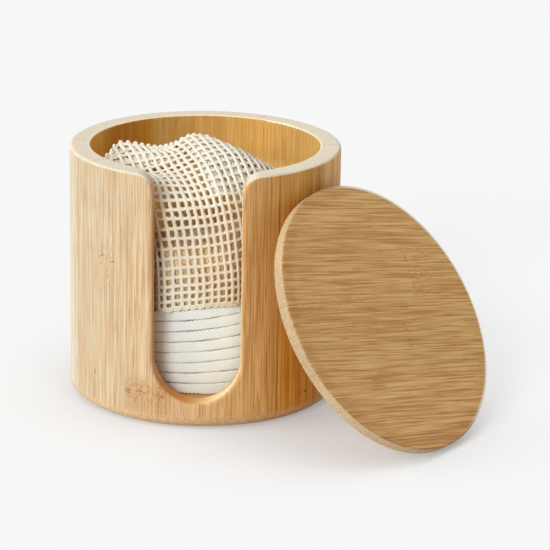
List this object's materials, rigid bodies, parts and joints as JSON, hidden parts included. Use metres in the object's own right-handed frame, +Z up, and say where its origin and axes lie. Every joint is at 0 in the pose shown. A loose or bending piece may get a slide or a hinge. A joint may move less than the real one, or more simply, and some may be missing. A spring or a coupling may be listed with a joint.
{
  "type": "round bamboo cotton pad holder",
  "caption": "Round bamboo holder with a U-shaped front slot, a loose disc lid leaning on its side, a stack of reusable round cotton pads and a folded cotton net wash bag.",
  "frame": {"origin": "centre of the holder's underside, on the surface it stands on", "axes": "+Z up along the holder's axis; the front slot opens towards -Y; the lid leans on the +X side, towards the front"},
  "size_m": [0.1616, 0.1478, 0.1011],
  "materials": {
    "bamboo_side": "satin, upright fibres",
    "bamboo_base": "satin",
    "bamboo_lid": "satin, level fibres",
    "cotton_pad": "soft brushed cotton",
    "cotton_net": "open knitted net"
  },
  "bodies": {
    "holder": {"holder_tube": "bamboo_side", "base_disc": "bamboo_base"},
    "lid": {"lid_board": "bamboo_lid", "lid_plug": "bamboo_lid"},
    "pad_01": {"pad_01": "cotton_pad"},
    "pad_02": {"pad_02": "cotton_pad"},
    "pad_03": {"pad_03": "cotton_pad"},
    "pad_04": {"pad_04": "cotton_pad"},
    "pad_05": {"pad_05": "cotton_pad"},
    "pad_06": {"pad_06": "cotton_pad"},
    "pad_07": {"pad_07": "cotton_pad"},
    "pad_08": {"pad_08": "cotton_pad"},
    "bag": {"laundry_bag": "cotton_net"}
  },
  "joints": [
    {"name": "lid_lift", "type": "slide", "parent": "holder", "child": "lid", "axis": [0, 0, 1], "range_m": [0, 0.105]},
    {"name": "pad_01_lift", "type": "slide", "parent": "holder", "child": "pad_01", "axis": [0, 0, 1], "range_m": [0, 0.091]},
    {"name": "pad_02_lift", "type": "slide", "parent": "pad_01", "child": "pad_02", "axis": [0, 0, 1], "range_m": [0, 0.0881]},
    {"name": "pad_03_lift", "type": "slide", "parent": "pad_02", "child": "pad_03", "axis": [0, 0, 1], "range_m": [0, 0.0849]},
    {"name": "pad_04_lift", "type": "slide", "parent": "pad_03", "child": "pad_04", "axis": [0, 0, 1], "range_m": [0, 0.0817]},
    {"name": "pad_05_lift", "type": "slide", "parent": "pad_04", "child": "pad_05", "axis": [0, 0, 1], "range_m": [0, 0.0782]},
    {"name": "pad_06_lift", "type": "slide", "parent": "pad_05", "child": "pad_06", "axis": [0, 0, 1], "range_m": [0, 0.0746]},
    {"name": "pad_07_lift", "type": "slide", "parent": "pad_06", "child": "pad_07", "axis": [0, 0, 1], "range_m": [0, 0.0707]},
    {"name": "pad_08_lift", "type": "slide", "parent": "pad_07", "child": "pad_08", "axis": [0, 0, 1], "range_m": [0, 0.0668]},
    {"name": "bag_lift", "type": "slide", "parent": "pad_08", "child": "bag", "axis": [0, 0, 1], "range_m": [0, 0.0625]}
  ]
}
